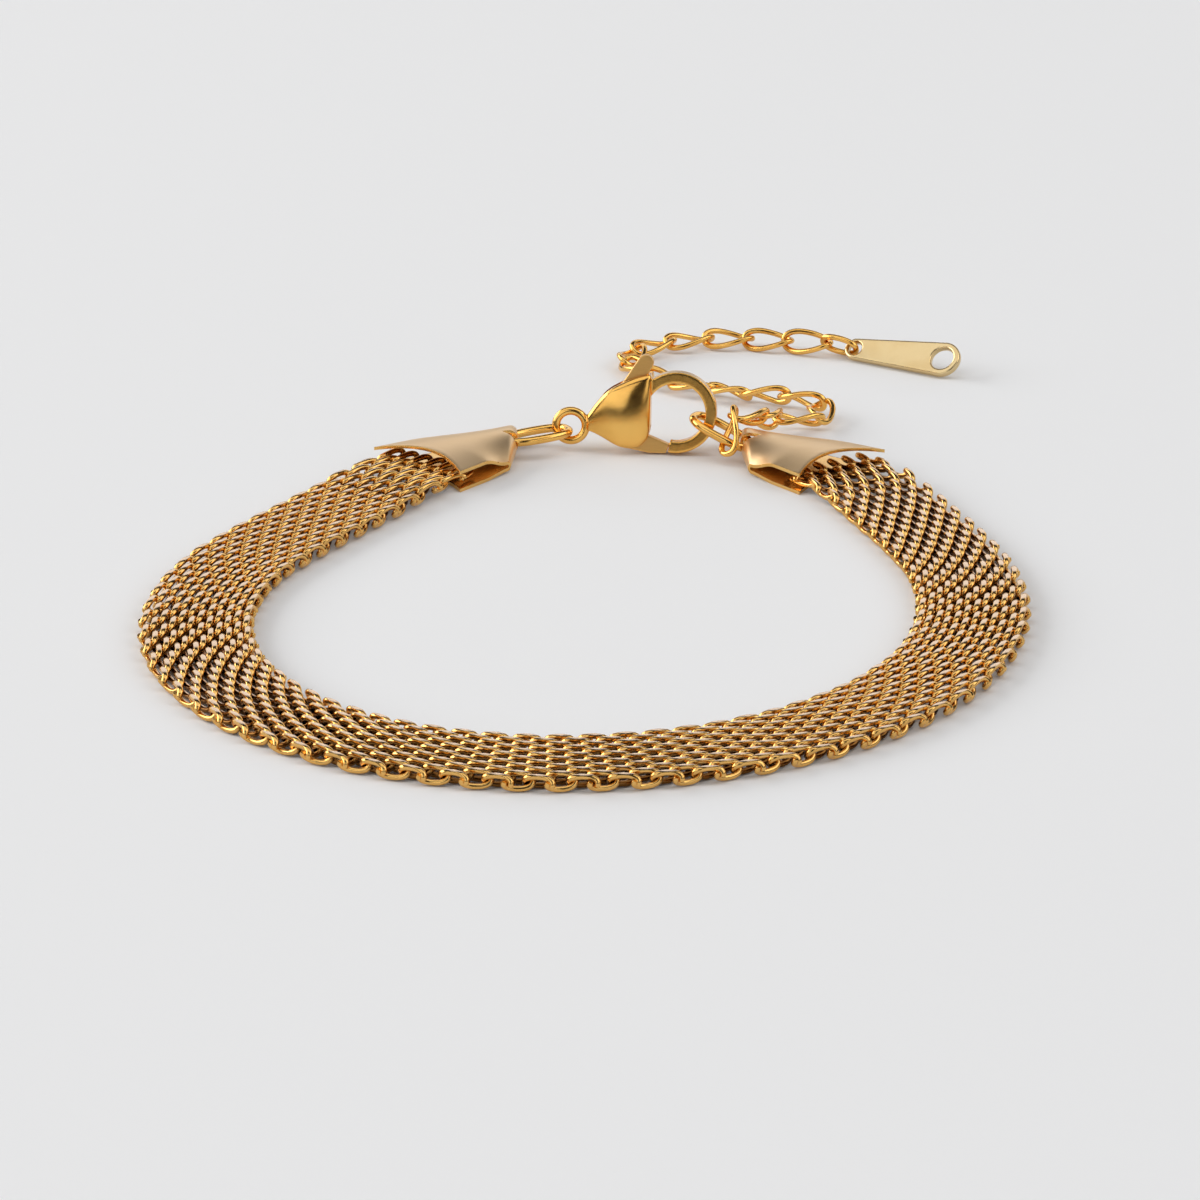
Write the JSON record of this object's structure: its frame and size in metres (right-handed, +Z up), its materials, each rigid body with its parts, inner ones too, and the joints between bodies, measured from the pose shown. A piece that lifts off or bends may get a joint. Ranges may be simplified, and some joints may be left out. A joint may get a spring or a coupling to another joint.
{
  "type": "mesh bracelet",
  "caption": "Woven wire mesh bracelet, closed by a lobster clasp, with folded end caps and an extension chain ending in a small tag.",
  "frame": {"origin": "centre of the part's plan box, on the surface that it lies on", "axes": "+Z up from the surface, -Y towards the front of the loop, +Y towards the clasp and the chain"},
  "size_m": [0.0626, 0.0938, 0.0075],
  "materials": {
    "wire": "polished gold-plated steel wire",
    "cap_gold": "satin gold-plated steel sheet",
    "gold": "polished gold-plated steel",
    "tag_gold": "polished gold-plated steel, pale"
  },
  "bodies": {
    "root": {"mesh_band": "wire", "end_cap_left": "cap_gold", "end_cap_right": "cap_gold", "jump_ring_left": "gold", "jump_ring_right": "gold", "clasp_body": "gold", "link_01": "gold", "link_02": "gold", "link_03": "gold", "link_04": "gold", "link_05": "gold", "link_06": "gold", "link_07": "gold", "link_08": "gold", "link_09": "gold", "link_10": "gold", "link_11": "gold", "link_12": "gold", "link_13": "gold", "link_14": "gold", "link_15": "gold", "link_16": "gold", "link_17": "gold", "tag_link": "gold", "tag": "tag_gold"},
    "lever": {"clasp_lever": "gold"}
  },
  "joints": [
    {"name": "lever_pivot", "type": "hinge", "parent": "root", "child": "lever", "pos_m": [0.00263, 0.02105, 0.00165], "axis": [-0.0687, -0.9824, 0.1736], "range_deg": [0, 18], "stiffness_Nm_per_rad": 0.0015, "springref_deg": -20.05}
  ]
}
